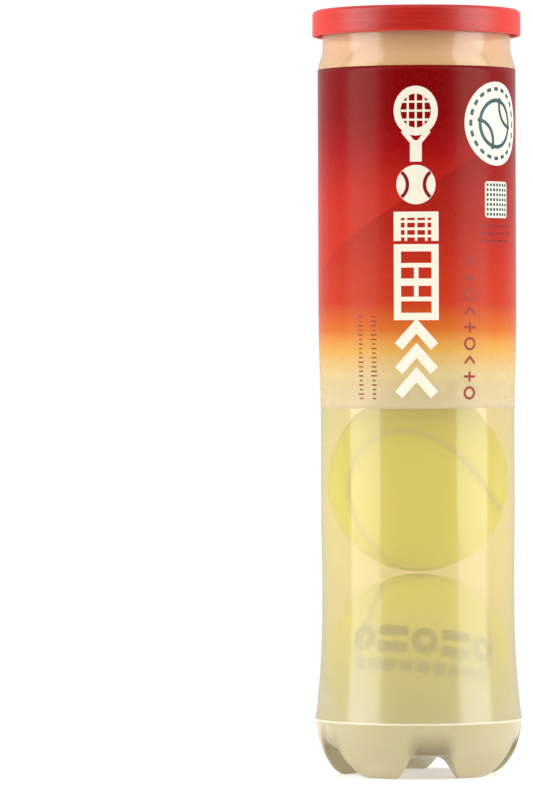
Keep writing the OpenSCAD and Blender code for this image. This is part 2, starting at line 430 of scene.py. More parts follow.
@dataclass(frozen=True)
class PrintedFilm(Finish):
    """Glossy sleeve film, printed dark red at its top and fading out to clear yellow at its lower edge."""

    low: float = 0.1324
    high: float = 0.2545
    tone_z: float = 0.2099
    tone_slope: float = 0.0214
    tone_edge: float = 0.0004

    def paint(self) -> bpy.types.Material:
        """Builds the film's material.

        Returns:
            The material.
        """
        graph = Graph("printed_film")
        share = (graph.z - self.low) * (1 / (self.high - self.low))
        sway = graph.noise(14.0, 1.0) - 0.5
        ink = graph.ramp(
            share + sway * 0.03,
            [
                (0.0, (0.90, 0.78, 0.54)),
                (0.10, (0.88, 0.70, 0.36)),
                (0.17, (0.80, 0.44, 0.10)),
                (0.23, (0.64, 0.15, 0.022)),
                (0.31, (0.54, 0.040, 0.014)),
                (0.44, (0.55, 0.030, 0.013)),
                (0.62, (0.52, 0.020, 0.012)),
                (0.76, (0.34, 0.003, 0.005)),
                (0.86, (0.24, 0.0, 0.002)),
                (1.0, (0.21, 0.0, 0.002)),
            ],
        )
        slope = graph.z - graph.around() * self.tone_slope - self.tone_z
        below = slope.fall(self.tone_edge, -self.tone_edge) * share.fall(0.3, 0.62)
        dusk = graph.blend(below * 0.34, ink, (0.12, 0.0, 0.004))
        grain = graph.blend((graph.noise(900.0, 2.0) - 0.4) * 0.05, dusk, (0.9, 0.35, 0.15))
        creases = graph.noise(60.0, 2.0, (1, 1, 0.12)) * 0.7 + graph.noise(1600.0, 1.0) * 0.03
        body = 0.34 + share.fall(0.03, 0.24) * 0.64
        return graph.close(
            graph.principled(
                Base_Color=grain,
                Roughness=0.24 + graph.noise(300.0, 2.0) * 0.08,
                IOR=1.3,
                Specular_IOR_Level=0.35,
                Specular_Tint=(1.0, 0.8, 0.65, 1.0),
                Alpha=body,
                Normal=graph.bump(creases, 0.0005, 0.35),
            )
        )


@dataclass(frozen=True)
class LidPlastic(Finish):
    """Soft translucent red plastic, with the faint rings that it cooled with and painted highlights on its
    left and right sides.
    """

    def paint(self) -> bpy.types.Material:
        """Builds the lid's material.

        Returns:
            The material.
        """
        graph = Graph("lid_plastic")
        streaks = graph.noise(60.0, 3.0, (0.6, 0.6, 14.0))
        cloud = graph.noise(45.0, 2.0, (1, 1, 1), 3.0)
        # painted highlight: the red turns paler towards the lid's left and right sides
        side = graph.x * graph.x
        pale = side.fall(0.0002, 0.0011) * 0.45 + streaks * 0.5 + cloud * 0.25
        red = graph.blend(pale, (0.34, 0.005, 0.004), (0.86, 0.036, 0.02))
        ridges = graph.noise(40.0, 2.0, (0.5, 0.5, 22.0)) + graph.noise(1300.0, 2.0) * 0.25
        return graph.close(
            graph.principled(
                Base_Color=red,
                Roughness=0.30 + streaks * 0.12,
                IOR=1.52,
                Subsurface_Weight=0.35,
                Subsurface_Scale=0.003,
                Subsurface_Radius=(1.0, 0.25, 0.15),
                Alpha=0.93,
                Normal=graph.bump(ridges, 0.0003, 0.5),
            )
        )


class Rolling(Enum):
    """How sheet metal was worked, as stretch factors of its scratches on X, Y and Z."""

    SPUN = (40.0, 40.0, 900.0)
    ROLLED = (30.0, 900.0, 900.0)


@dataclass(frozen=True)
class SheetMetal(Finish):
    """Aluminium sheet under a thin lacquer, with fine rolling scratches."""

    name: str
    tone: Colour
    rolling: Rolling
    roughness: float = 0.24

    def paint(self) -> bpy.types.Material:
        """Builds the metal's material.

        Returns:
            The material.
        """
        graph = Graph(self.name)
        scratch = graph.noise(2.0, 4.0, self.rolling.value)
        stain = graph.noise(70.0, 3.0)
        return graph.close(
            graph.principled(
                Base_Color=graph.blend(stain, self.tone, dimmed(self.tone, 0.82)),
                Metallic=1.0,
                Roughness=self.roughness + scratch * 0.14 + stain * 0.06,
                Coat_Weight=0.3,
                Coat_Roughness=0.1,
                Normal=graph.bump(scratch, 0.00005, 0.6),
            )
        )


@dataclass(frozen=True)
class Felt(Finish):
    """Optic yellow needled felt: matted, uneven and soft."""

    def paint(self) -> bpy.types.Material:
        """Builds the felt's material.

        Returns:
            The material.
        """
        graph = Graph("ball_felt")
        clumps = graph.noise(420.0, 4.0)
        wisps = graph.noise(1500.0, 3.0, (1.0, 0.35, 1.0))
        patches = graph.noise(60.0, 3.0)
        lime = graph.blend(clumps, (0.54, 0.60, 0.006), (0.80, 0.86, 0.030))
        lime = graph.blend((wisps - 0.35) * 0.6, lime, (0.84, 0.88, 0.18))
        lime = graph.blend(patches * 0.25, lime, (0.58, 0.64, 0.02))
        nap = clumps * 0.6 + wisps * 0.4
        return graph.close(
            graph.principled(
                Base_Color=lime,
                Roughness=0.95,
                Sheen_Weight=0.45,
                Sheen_Roughness=0.45,
                Sheen_Tint=(0.95, 1.0, 0.55, 1.0),
                Specular_IOR_Level=0.15,
                Normal=graph.bump(nap, 0.0009, 0.8),
            )
        )


@dataclass(frozen=True)
class Matt(Finish):
    """A dull moulded or cemented surface with a fine grain."""

    name: str
    light: Colour
    dark: Colour
    grain: float = 900.0
    roughness: float = 0.75
    glow: float = 0.0

    def paint(self) -> bpy.types.Material:
        """Builds the material.

        Returns:
            The material.
        """
        graph = Graph(self.name)
        speckle = graph.noise(self.grain, 3.0)
        patches = graph.noise(90.0, 2.0)
        tone = graph.blend(speckle * 0.7 + patches * 0.3, self.dark, self.light)
        return graph.close(
            graph.principled(
                Base_Color=tone,
                Roughness=self.roughness + patches * 0.15,
                Normal=graph.bump(speckle, 0.0001, 0.6),
                Emission_Color=(1, 1, 1, 1),
                Emission_Strength=self.glow,
            )
        )


@dataclass(frozen=True)
class Ink(Finish):
    """Printing ink, a little uneven in its cover."""

    name: str
    tone: Colour
    roughness: float = 0.3

    def paint(self) -> bpy.types.Material:
        """Builds the ink's material.

        Returns:
            The material.
        """
        graph = Graph(self.name)
        cover = graph.noise(1400.0, 2.0)
        return graph.close(
            graph.principled(
                Base_Color=graph.blend(cover, dimmed(self.tone, 0.86), self.tone),
                Roughness=self.roughness + cover * 0.1,
                IOR=1.36,
                Normal=graph.bump(cover, 0.00003, 0.4),
            )
        )


CLEAR_WALL = ClearWall()
WALL_LINING = WallLining()
FILM = PrintedFilm()
LID_PLASTIC = LidPlastic()
END_METAL = SheetMetal("end_metal", (0.84, 0.85, 0.86), Rolling.SPUN)
TAB_METAL = SheetMetal("tab_metal", (0.76, 0.77, 0.79), Rolling.ROLLED, 0.2)
FELT = Felt()
SEAM_CEMENT = Matt("felt_seam", (0.47, 0.43, 0.43), (0.35, 0.32, 0.33))
RUBBER = Matt("rubber_core", (0.035, 0.034, 0.032), (0.012, 0.012, 0.011), 600.0, 0.6)
CORE_CEMENT = Matt("core_cement", (0.62, 0.55, 0.38), (0.42, 0.36, 0.24))
SEALANT = Matt("sealant", (0.36, 0.36, 0.33), (0.24, 0.24, 0.22))
CREAM_INK = Ink("cream_ink", (0.96, 0.90, 0.74))
RED_INK = Ink("dark_red_ink", (0.26, 0.006, 0.010))
RUST_INK = Ink("rust_ink", (0.32, 0.022, 0.014))
TEAL_INK = Ink("teal_ink", (0.03, 0.10, 0.11))
BLACK_INK = Ink("black_ink", (0.018, 0.018, 0.02), 0.8)
FLOOR_PAINT = Matt("floor_paint", (0.93, 0.93, 0.93), (0.90, 0.90, 0.90), 30.0, 0.8, 0.4)


# ---------------------------------------------------------------- mesh work


class Form:
    """A mesh under construction, which ends as one piece on one body."""

    def __init__(self) -> None:
        """Starts an empty mesh."""
        self.bm = bmesh.new()

    @classmethod
    def lathe(cls, outline: Outline, segments: int, ring: bool = False) -> "Form":
        """Spins an outline once about the Z axis.

        Args:
            outline: Radius and height of each point.
            segments: Steps of the spin.
            ring: Whether the outline closes on itself.

        Returns:
            The spun form, with its faces outwards.
        """
        form = cls()
        verts = [form.bm.verts.new((radius, 0, height)) for radius, height in outline]
        edges = [form.bm.edges.new(pair) for pair in zip(verts, verts[1:])]
        if ring:
            edges.append(form.bm.edges.new((verts[-1], verts[0])))
        bmesh.ops.spin(
            form.bm, geom=verts + edges, cent=(0, 0, 0), axis=(0, 0, 1), dvec=(0, 0, 0), angle=FULL_TURN,
            steps=segments, use_merge=True, use_normal_flip=False, use_duplicate=False,
        )
        form.clean()
        widest = max(form.bm.faces, key=lambda face: face.calc_center_median().xy.length)
        if widest.normal.xy.dot(widest.calc_center_median().xy) < 0:
            bmesh.ops.reverse_faces(form.bm, faces=form.bm.faces)
        return form

    @classmethod
    def plate(cls, size: tuple[float, float], centre: tuple[float, float], cuts: int = 1) -> "Form":
        """Makes a flat rectangle in the XY plane.

        Args:
            size: Its width and height.
            centre: Its middle.
            cuts: Cells along each side.

        Returns:
            The rectangle.
        """
        form = cls()
        bmesh.ops.create_grid(form.bm, x_segments=cuts, y_segments=cuts, size=0.5)
        bmesh.ops.scale(form.bm, vec=(size[0], size[1], 1), verts=form.bm.verts)
        return form.moved((centre[0], centre[1], 0))

    @classmethod
    def disc(cls, radius: float, centre: tuple[float, float], hole: float = 0.0, sides: int = 40) -> "Form":
        """Makes a flat disc or ring in the XY plane.

        Args:
            radius: Its outer radius.
            centre: Its middle.
            hole: The radius of its hole, or 0.
            sides: Sides of its rim.

        Returns:
            The disc.
        """
        form = cls()
        rim = bmesh.ops.create_circle(form.bm, cap_ends=hole == 0, segments=sides, radius=radius)["verts"]
        if hole:
            made = bmesh.ops.extrude_edge_only(form.bm, edges=form.bm.edges[:])["geom"]
            inner = [part for part in made if isinstance(part, bmesh.types.BMVert) and part not in rim]
            bmesh.ops.scale(form.bm, vec=(hole / radius, hole / radius, 1), verts=inner)
        return form.moved((centre[0], centre[1], 0))

    @classmethod
    def ribbon(cls, path: Outline, width: float) -> "Form":
        """Makes a flat ribbon along a path in the XY plane.

        Args:
            path: The points of its middle line.
            width: Its width.

        Returns:
            The ribbon.
        """
        form = cls()
        points = [Vector(point) for point in path]
        rows = {}
        bmesh.ops.create_grid(form.bm, x_segments=len(points) - 1, y_segments=1, size=1.0)
        for vert in form.bm.verts:
            index = round((vert.co.x + 1) / 2 * (len(points) - 1))
            rows[vert] = index, math.copysign(width / 2, vert.co.y)
        for vert, (index, aside) in rows.items():
            before, after = points[max(index - 1, 0)], points[min(index + 1, len(points) - 1)]
            legs = [points[index] - before, after - points[index]]
            legs = [leg.normalized() for leg in legs if leg.length > 0]
            along = sum(legs, Vector((0, 0))).normalized()
            stretch = 1 / max(along.dot(legs[0]), 0.4)
            normal = Vector((-along.y, along.x)) * aside * stretch
            vert.co = (*(points[index] + normal), 0)
        return form

    def clean(self) -> "Form":
        """Merges doubles and turns the faces outwards."""
        bmesh.ops.remove_doubles(self.bm, verts=self.bm.verts, dist=1e-7)
        bmesh.ops.recalc_face_normals(self.bm, faces=self.bm.faces)
        return self

    def moved(self, by: Sequence[float]) -> "Form":
        """Shifts the whole form."""
        bmesh.ops.translate(self.bm, vec=by, verts=self.bm.verts)
        return self

    def turned(self, matrix: Matrix) -> "Form":
        """Transforms the whole form."""
        bmesh.ops.transform(self.bm, matrix=matrix, verts=self.bm.verts)
        return self

    def joined(self, *others: "Form") -> "Form":
        """Adds other forms' meshes to this one.

        Args:
            *others: The forms, which are used up.

        Returns:
            This form.
        """
        for other in others:
            spare = other.mesh("spare")
            self.bm.from_mesh(spare)
            bpy.data.meshes.remove(spare)
        return self

    def shaped(self, place: Callable[[Vector], Vector]) -> "Form":
        """Moves every vertex by a rule."""
        for vert in self.bm.verts:
            vert.co = place(vert.co)
        return self

    def rounded(self, width: float, segments: int = 2, sharper_than: float = 0.6) -> "Form":
        """Bevels the edges that turn sharply.

        Args:
            width: The bevel's width.
            segments: Its steps.
            sharper_than: The least angle, in radians, of an edge that is bevelled.

        Returns:
            This form.
        """
        sharp = [e for e in self.bm.edges if len(e.link_faces) == 2 and e.calc_face_angle(0) > sharper_than]
        bmesh.ops.bevel(
            self.bm, geom=sharp, offset=width, offset_type="OFFSET", segments=segments, profile=0.5,
            affect="EDGES", material=-1, clamp_overlap=True,
        )
        return self

    def mesh(self, name: str) -> bpy.types.Mesh:
        """Ends the form as a mesh.

        Args:
            name: The mesh's name.

        Returns:
            The mesh.
        """
        made = bpy.data.meshes.new(name)
        self.bm.to_mesh(made)
        self.bm.free()
        return made

    def piece(self, name: str, finish: Finish, body: str, slot: str, replaces: Sequence[str] = (),
              crease: float = CREASE) -> bpy.types.Object:
        """Ends the form as an object on a body.

        Args:
            name: The piece's name.
            finish: Its finish.
            body: The body that it rides on.
            slot: Not used.
            replaces: The CAD nodes that it stands for.
            crease: The angle, in radians, above which an edge is shaded sharp.

        Returns:
            The object.
        """
        made = bpy.data.objects.new(name, self.mesh(name))
        return dress(made, finish, body, replaces, crease)


def dress(piece: bpy.types.Object, finish: Finish, body: str, replaces: Sequence[str] = (),
          crease: float = CREASE) -> bpy.types.Object:
    """Links, shades and finishes an object, and puts it on its body.

    Args:
        piece: The object.
        finish: Its finish.
        body: The body that it rides on.
        replaces: The CAD nodes that it stands for.
        crease: The angle, in radians, above which an edge is shaded sharp.

    Returns:
        The object.
    """
    bpy.context.scene.collection.objects.link(piece)
    piece.data.shade_smooth()
    piece.data.set_sharp_from_angle(angle=crease)
    piece.data.materials.clear()
    piece.data.materials.append(finish.material())
    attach(piece, body)
    if replaces:
        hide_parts(*replaces)
    LOG.info("%s: %d faces on %s", piece.name, len(piece.data.polygons), body)
    return piece


def repaint(node: str, finish: Finish) -> None:
    """Gives a CAD node, which stays as it is, its finish."""
    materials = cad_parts[node].data.materials
    materials.clear()
    materials.append(finish.material())


def thicken(piece: bpy.types.Object, thickness: float) -> bpy.types.SolidifyModifier:
    """Gives a sheet its thickness, inwards from its faces.

    Args:
        piece: The sheet.
        thickness: Its thickness.

    Returns:
        The modifier.
    """
    wall = piece.modifiers.new("thickness", "SOLIDIFY")
    wall.thickness = thickness
    wall.offset = -1.0
    wall.use_even_offset = True
    return wall


# ---------------------------------------------------------------- the can


@dataclass
class Can:
    """The blown wall with its neck, waist and petal-shaped feet, and the sleeve round it."""

    waist_r: float = 34.7 * MM
    belly_r: float = 35.0 * MM
    chest_r: float = 35.6 * MM
    base_r: float = 37.45 * MM
    neck_r: float = 33.95 * MM
    finish_r: float = 34.1 * MM
    flange_r: float = 35.3 * MM
    wall: float = 0.45 * MM
    ring_z: float = 20.2 * MM
    ring_proud: float = 0.15 * MM
    waist_z: float = 70 * MM
    belly_z: tuple[float, float] = (95 * MM, 130 * MM)
    chest_z: float = 166 * MM
    shoulder_z: float = 254.6 * MM
    neck_z: float = 262.3 * MM
    flange_z: float = 273.75 * MM
    flare_power: float = 2.8
    feet: int = 5
    feet_turn: float = FEET_TURN
    foot_r: float = 27 * MM
    pad_w: float = 2 * MM
    foot_curve: float = 1.7
    curve_share: float = 0.6
    pad_share: float = 0.06
    cup_r: float = 9 * MM
    cup_z: float = 6.25 * MM
    gate_r: float = 1.2 * MM
    gate_drop: float = 0.5 * MM
    strap_r: float = 27.5 * MM
    strap_z: float = 8.3 * MM
    strap_top: float = 17.8 * MM
    strap_rim: float = 36.5 * MM
    valley_half: float = 10.8 * MM
    valley_taper: float = 0.4
    valley_soft: float = 1.5 * MM
    valley_fade: float = 1.2 * MM
    segments: int = 240
    film: float = 0.12 * MM
    film_gap: float = 0.03 * MM
    lap: tuple[float, float] = (math.radians(90), math.radians(100))

    def radius(self, z: float) -> float:
        """Gives the wall's outer radius at a height above the mould ring.

        Args:
            z: The height.

        Returns:
            The radius.
        """
        if z < self.waist_z:
            share = (self.waist_z - z) / (self.waist_z - self.ring_z)
            return mix(self.waist_r, self.base_r, share**self.flare_power)
        low, high = self.belly_z
        if z < high:
            return mix(self.waist_r, self.belly_r, smooth((z - self.waist_z) / (low - self.waist_z)))
        if z < self.shoulder_z:
            return mix(self.belly_r, self.chest_r, smooth((z - high) / (self.chest_z - high)))
        share = (z - self.shoulder_z) / (self.neck_z - self.shoulder_z)
        return mix(self.chest_r, self.neck_r, smooth(share))

    def foot_point(self, share: float) -> tuple[float, float]:
        """Gives a point of a foot's outline.

        Args:
            share: How far along the outline it lies, from the mould ring at 0 to the cup at 1.

        Returns:
            Its radius and its height.
        """
        if share < self.curve_share:
            angle = share / self.curve_share * math.pi / 2
            out = math.cos(angle) ** (2 / self.foot_curve)
            down = math.sin(angle) ** (2 / self.foot_curve)
            return mix(self.foot_r, self.base_r, out), self.ring_z * (1 - down)
        pad_end = self.curve_share + self.pad_share
        if share < pad_end:
            return self.foot_r - self.pad_w * (share - self.curve_share) / self.pad_share, 0.0
        inner = (share - pad_end) / (1 - pad_end)
        return mix(self.foot_r - self.pad_w, self.cup_r, inner), self.cup_z * smooth(inner)

    def strap_point(self, share: float) -> tuple[float, float]:
        """Gives a point of the outline between two feet.

        Args:
            share: How far along the outline it lies, from the mould ring at 0 to the cup at 1.

        Returns:
            Its radius and its height.
        """
        if share < self.curve_share:
            angle = share / self.curve_share * math.pi / 2
            height = mix(self.strap_top, self.strap_z, math.sin(angle))
            return mix(self.strap_r, self.strap_rim, math.cos(angle)), height
        inner = (share - self.curve_share) / (1 - self.curve_share)
        return mix(self.strap_r, self.cup_r, inner), mix(self.strap_z, self.cup_z, inner)

    def valley_share(self, radius: float, height: float, angle: float) -> float:
        """Tells how far a point of the base lies on a foot, 1, or down in the valley between two, 0.

        Args:
            radius: The point's distance from the axis.
            height: Its height on the foot's outline.
            angle: Its turn about the axis.

        Returns:
            The share.
        """
        pitch = FULL_TURN / self.feet
        first = math.radians(self.feet_turn - 90)
        off = (angle - first + pitch / 2) % pitch - pitch / 2
        aside = radius * abs(math.sin(off))
        half = self.valley_half - self.valley_taper * height
        return smooth((aside - half + 2 * self.valley_soft) / (2 * self.valley_soft))

    def wall_form(self) -> Form:
        """Spins the wall's outside and presses the valleys in between the feet.

        Returns:
            The open shell, whose faces look outwards.
        """
        along = steps(54)
        base = [self.foot_point(1 - share) for share in along]
        heights = [
            *(mix(self.ring_z + 0.8 * MM, self.waist_z, share) for share in steps(22)),
            *(mix(self.waist_z + 3 * MM, self.shoulder_z, share) for share in steps(48)),
            *(mix(self.shoulder_z + 0.6 * MM, self.neck_z, share) for share in steps(12)),
        ]
        proud_r = self.base_r + self.ring_proud
        mould_ring = [(proud_r, self.ring_z - 0.05 * MM), (proud_r, self.ring_z + 0.15 * MM)]
        finish = [(self.neck_r, self.neck_z + 3 * MM), (self.finish_r, self.flange_z - 3 * MM),
                  (self.finish_r, self.flange_z - 0.3 * MM), (self.finish_r + 0.3 * MM, self.flange_z),
                  (self.flange_r, self.flange_z)]
        gate_z = self.cup_z - self.gate_drop
        gate = [(0.0, gate_z), (self.gate_r, gate_z), (self.gate_r + self.gate_drop, self.cup_z),
                (0.5 * self.cup_r, self.cup_z)]
        outline = [*gate, *base[:-1], (self.base_r, self.ring_z - 0.3 * MM), *mould_ring,
                   *((self.radius(z), z) for z in heights), *finish]
        form = Form.lathe(outline, self.segments)

        def press(co: Vector) -> Vector:
            """Presses a point of the base in where a valley runs.

            Args:
                co: The point on the spun wall.

            Returns:
                The pressed point.
            """
            radius = math.hypot(co.x, co.y)
            if co.z > self.ring_z - 0.1 * MM or radius < self.cup_r:
                return co
            nearest = min(zip(base, along), key=lambda pair: math.dist(pair[0], (radius, co.z)))
            strap_r, strap_z = self.strap_point(1 - nearest[1])
            below_ring = smooth((self.ring_z - co.z) / self.valley_fade)
            on_foot = mix(1.0, self.valley_share(radius, co.z, math.atan2(co.y, co.x)), below_ring)
            scale = mix(strap_r, radius, on_foot) / radius
            return Vector((co.x * scale, co.y * scale, mix(strap_z, co.z, on_foot)))

        return form.shaped(press)

    def sleeve_form(self, low: float, high: float) -> Form:
        """Wraps the printed film round the wall, with its lap at the back.

        Args:
            low: The height of its lower edge.
            high: The height of its upper edge.

        Returns:
            The film's outside.
        """
        heights = [mix(low, high, share) for share in steps(60)]
        form = Form.lathe([(self.radius(z) + self.film_gap + self.film, z) for z in heights], self.segments)

        def raise_lap(co: Vector) -> Vector:
            """Lifts the film where its end lies over its start.

            Args:
                co: The point on the spun film.

            Returns:
                The lifted point.
            """
            angle = math.atan2(co.y, co.x)
            start, end = self.lap
            lift = self.film if start <= angle <= end else 0.0
            scale = 1 + lift / math.hypot(co.x, co.y)
            return Vector((co.x * scale, co.y * scale, co.z))

        return form.shaped(raise_lap)

    def build(self) -> None:
        """Builds and dresses the wall and the sleeve."""
        wall = self.wall_form().piece("blown_wall", CLEAR_WALL, "can", "clear_wall", ["can_body"], 1.2)
        wall.data.materials.append(WALL_LINING.material())
        thicken(wall, self.wall).material_offset = 1
        low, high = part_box("label_sleeve")
        sleeve = self.sleeve_form(low.z, high.z)
        thicken(sleeve.piece("printed_sleeve", FILM, "can", "printed_film", ["label_sleeve"]), self.film)
        repaint("sealing_compound", SEALANT)


@dataclass
class Artwork:
    """The sleeve's printing: plain pictograms drawn flat, in millimetres, and wrapped round the film."""

    can: Can
    lift: float = 0.17 * MM
    ink: float = 0.03 * MM
    strip: float = 1.4 * MM
    tile_wide: float = 16.0
    tile_high: float = 27.0
    tile_pitch: float = 28.15
    column_low: float = 135.7
    line: float = 2.6
    ball_y: float = 6.5

    def wrapped(self, shapes: Sequence[Form], turn: float, height: float, layer: int = 0) -> Form:
        """Joins flat shapes, cuts them into narrow strips and lays them on the film.

        Args:
            shapes: The shapes, whose Y runs up the can.
            turn: Where their X = 0 lies about the axis, in degrees to the right of the front.
            height: Where their Y = 0 lies, in millimetres.
            layer: How many layers of ink lie below.

        Returns:
            The wrapped form.
        """
        out = self.lift + layer * 1.5 * self.ink

        def wrap(co: Vector) -> Vector:
            """Bends a flat point round the film."""
            radius = self.can.radius(co.y) + out
            angle = co.x / self.can.chest_r + math.radians(turn)
            return Vector((radius * math.sin(angle), -radius * math.cos(angle), co.y))

        for shape in shapes:
            shape.turned(Matrix.Scale(MM, 4)).moved((0, height * MM, 0))
            across = [vert.co.x for vert in shape.bm.verts]
            first, last = math.ceil(min(across) / self.strip), math.floor(max(across) / self.strip)
            for index in range(first, last + 1):
                geom = [*shape.bm.verts, *shape.bm.edges, *shape.bm.faces]
                cut = (index * self.strip, 0, 0)
                bmesh.ops.bisect_plane(shape.bm, geom=geom, plane_co=cut, plane_no=(1, 0, 0))
            shape.shaped(wrap)
            shape.bm.normal_update()
            bmesh.ops.solidify(shape.bm, geom=shape.bm.faces, thickness=self.ink)
            bmesh.ops.recalc_face_normals(shape.bm, faces=shape.bm.faces)
        return shapes[0].joined(*shapes[1:])

    def racket(self) -> list[Form]:
        """Draws a racket in one tile."""
        head_y, string = 4.6, 0.75
        oval = Matrix.Diagonal((1, 1.12, 1, 1))
        head = Form.disc(7.9, (0, 0), 5.4, 48).turned(oval).moved((0, head_y, 0))
        strings = [Form.plate((string, 12.0), (x, head_y)) for x in (-2.8, 0, 2.8)]
        strings += [Form.plate((10.4, string), (0, head_y + y)) for y in (-3.2, 0, 3.2)]
        throat = [Form.ribbon([(side * 4.6, -2.4), (side * 1.2, -6.6)], 1.8) for side in (-1, 1)]
        return [head, *strings, *throat, Form.plate((4.2, 7.6), (0, -9.7))]

    def ball(self) -> list[Form]:
        """Draws a ball over a net in one tile."""
        net_wide, cord = 10.8, 0.9
        posts = [Form.plate((self.line, 10.4), (side * 6.7, -8.3)) for side in (-1, 1)]
        cords = [Form.plate((net_wide, cord), (0, y)) for y in (-6.6, -9.2, -11.8)]
        mesh = [Form.plate((cord, 8.6), (x, -9.2)) for x in (-3.6, 0, 3.6)]
        tape = Form.plate((net_wide, 2.2), (0, -4.2))
        return [Form.disc(7.0, (0, self.ball_y), 0, 48), *posts, *cords, *mesh, tape]

    def ball_lines(self, away: float, bend: float, reach: float, width: float) -> list[Form]:
        """Draws the two seam lines that cross a ball.

        Args:
            away: How far the middle of each line's bend lies from the ball's middle.
            bend: The radius of the bend.
            reach: Half the bend's angle, in degrees.
            width: The width of a line.

        Returns:
            The left line and the right line.
        """
        angles = [math.radians(mix(-reach, reach, share)) for share in steps(16)]
        return [
            Form.ribbon([(side * (away - bend * math.cos(a)), bend * math.sin(a)) for a in angles], width)
            for side in (-1, 1)
        ]

    def court(self) -> list[Form]:
        """Draws a court seen from above in one tile."""
        wide, high = self.tile_wide - self.line, self.tile_high - self.line
        sides = [Form.plate((self.line, self.tile_high), (side * wide / 2, 0)) for side in (-1, 1)]
        ends = [Form.plate((wide, self.line), (0, side * high / 2)) for side in (-1, 1)]
        thin, box = 1.6, 6.0
        service = [Form.plate((wide, thin), (0, y)) for y in (-box, box)]
        middle = [Form.plate((thin, 2 * box), (0, 0)), Form.plate((wide, self.line), (0, 0))]
        return [*sides, *ends, *service, *middle]

    def chevrons(self) -> list[Form]:
        """Draws three chevrons in one tile."""
        half, rise = 6.4, 3.6
        return [
            Form.ribbon([(-half, y - rise), (0, y + rise), (half, y - rise)], 3.6) for y in (-8.3, 0.3, 8.9)
        ]

    def column(self, turn: float) -> None:
        """Prints the wide column of pictograms.

        Args:
            turn: Where it stands about the axis, in degrees.
        """
        tag = "front" if abs(turn) < 45 else "back"
        middle = self.column_low + self.tile_high / 2
        shapes = []
        for index, tile in enumerate((self.chevrons, self.court, self.ball, self.racket)):
            shapes += [shape.moved((0, index * self.tile_pitch, 0)) for shape in tile()]
        lines_y = 2 * self.tile_pitch + self.ball_y
        lines = [line.moved((0, lines_y, 0)) for line in self.ball_lines(8.6, 5.6, 52, 1.2)]
        self.print_on(f"{tag}_column", shapes, turn, middle, CREAM_INK)
        self.print_on(f"{tag}_column_lines", lines, turn, middle, RED_INK, 1)

    def badge(self, turn: float, height: float) -> None:
        """Prints the round badge: a ball with a dashed ring.

        Args:
            turn: Where it stands about the axis, in degrees.
            height: The height of its middle, in millimetres.
        """
        dashes, lean = 20, 0.6
        ring = [
            Form.plate((2.2, 1.3), (0, 12.4)).turned(Matrix.Rotation(index * FULL_TURN / dashes, 4, "Z"))
            for index in range(dashes)
        ]
        arcs = [arc.turned(Matrix.Rotation(lean, 4, "Z")) for arc in self.ball_lines(11.4, 7.6, 56, 1.3)]
        outline = Form.disc(9.0, (0, 0), 7.6, 64)
        self.print_on("badge", [Form.disc(15.0, (0, 0), 0, 96)], turn, height, CREAM_INK)
        self.print_on("badge_ball", [outline, *ring, *arcs], turn, height, TEAL_INK, 1)

    def dot_tile(self, turn: float, height: float) -> None:
        """Prints the small square with its grid of dots.

        Args:
            turn: Where it stands about the axis, in degrees.
            height: The height of its middle, in millimetres.
        """
        wide, corner, pitch = 13.0, 1.2, 1.75
        inner = wide - 2 * corner
        away = inner / 2
        corners = [Form.disc(corner, (away * x, away * y), 0, 24) for x in (-1, 1) for y in (-1, 1)]
        edges = [Form.plate((inner, corner), (0, side * (inner + corner) / 2)) for side in (1, -1)]
        dots = [Form.disc(0.62, (pitch * x, pitch * y), 0, 12) for x in range(-3, 4) for y in range(-3, 4)]
        square = [Form.plate((wide, inner), (0, 0)), *edges, *corners]
        self.print_on("dot_tile", square, turn, height, CREAM_INK)
        self.print_on("dot_tile_dots", dots, turn, height, TEAL_INK, 1)

    def symbols(self, turn: float) -> None:
        """Prints the thin upright row of rings, bars and small chevrons.

        Args:
            turn: Where it stands about the axis, in degrees.
        """
        shapes = []
        pitch, stroke = 5.85, 0.85
        for index in range(9):
            rise = index * pitch
            shapes.append((
                Form.disc(2.4, (0, rise), 2.4 - stroke, 28),
                Form.plate((4.8, stroke), (0, rise)).joined(Form.plate((stroke, 3.6), (0, rise))),
                Form.ribbon([(-2.1, rise - 1.2), (0, rise + 1.2), (2.1, rise - 1.2)], stroke),
            )[index % 3])
        self.print_on("symbol_row", shapes, turn, 137.9, RUST_INK)

    def ticks(self, turn: float, seed: int) -> None:
        """Prints one thin upright row of bars.

        Args:
            turn: Where it stands about the axis, in degrees.
            seed: What the bars' widths are drawn from.
        """
        draw = random.Random(seed)
        pitch, thin = 1.62, 0.5
        bars = [Form.plate((draw.choice((1.2, 1.8, 2.3)), thin), (0, index * pitch)) for index in range(19)]
        self.print_on(f"tick_row_{seed}", bars, turn, 136.0, RUST_INK)

    def caption(self, turn: float, height: float, rows: int, wide: float, name: str, ink: Ink,
                layer: int = 0) -> None:
        """Prints a few short rows of dashes.

        Args:
            turn: Where they stand about the axis, in degrees.
            height: The height of the lowest row, in millimetres.
            rows: The number of rows.
            wide: The width of a row.
            name: The piece's name.
            ink: Its ink.
            layer: How many layers of ink lie below.
        """
        draw = random.Random(rows)
        dashes = []
        thin, gap, pitch = 0.8, 0.8, 2.6
        for row in range(rows):
            start = -wide / 2
            while start < wide / 2 - 1:
                long = min(draw.uniform(1.2, 4.2), wide / 2 - start)
                dashes.append(Form.plate((long, thin), (start + long / 2, row * pitch)))
                start += long + gap
        self.print_on(name, dashes, turn, height, ink, layer)

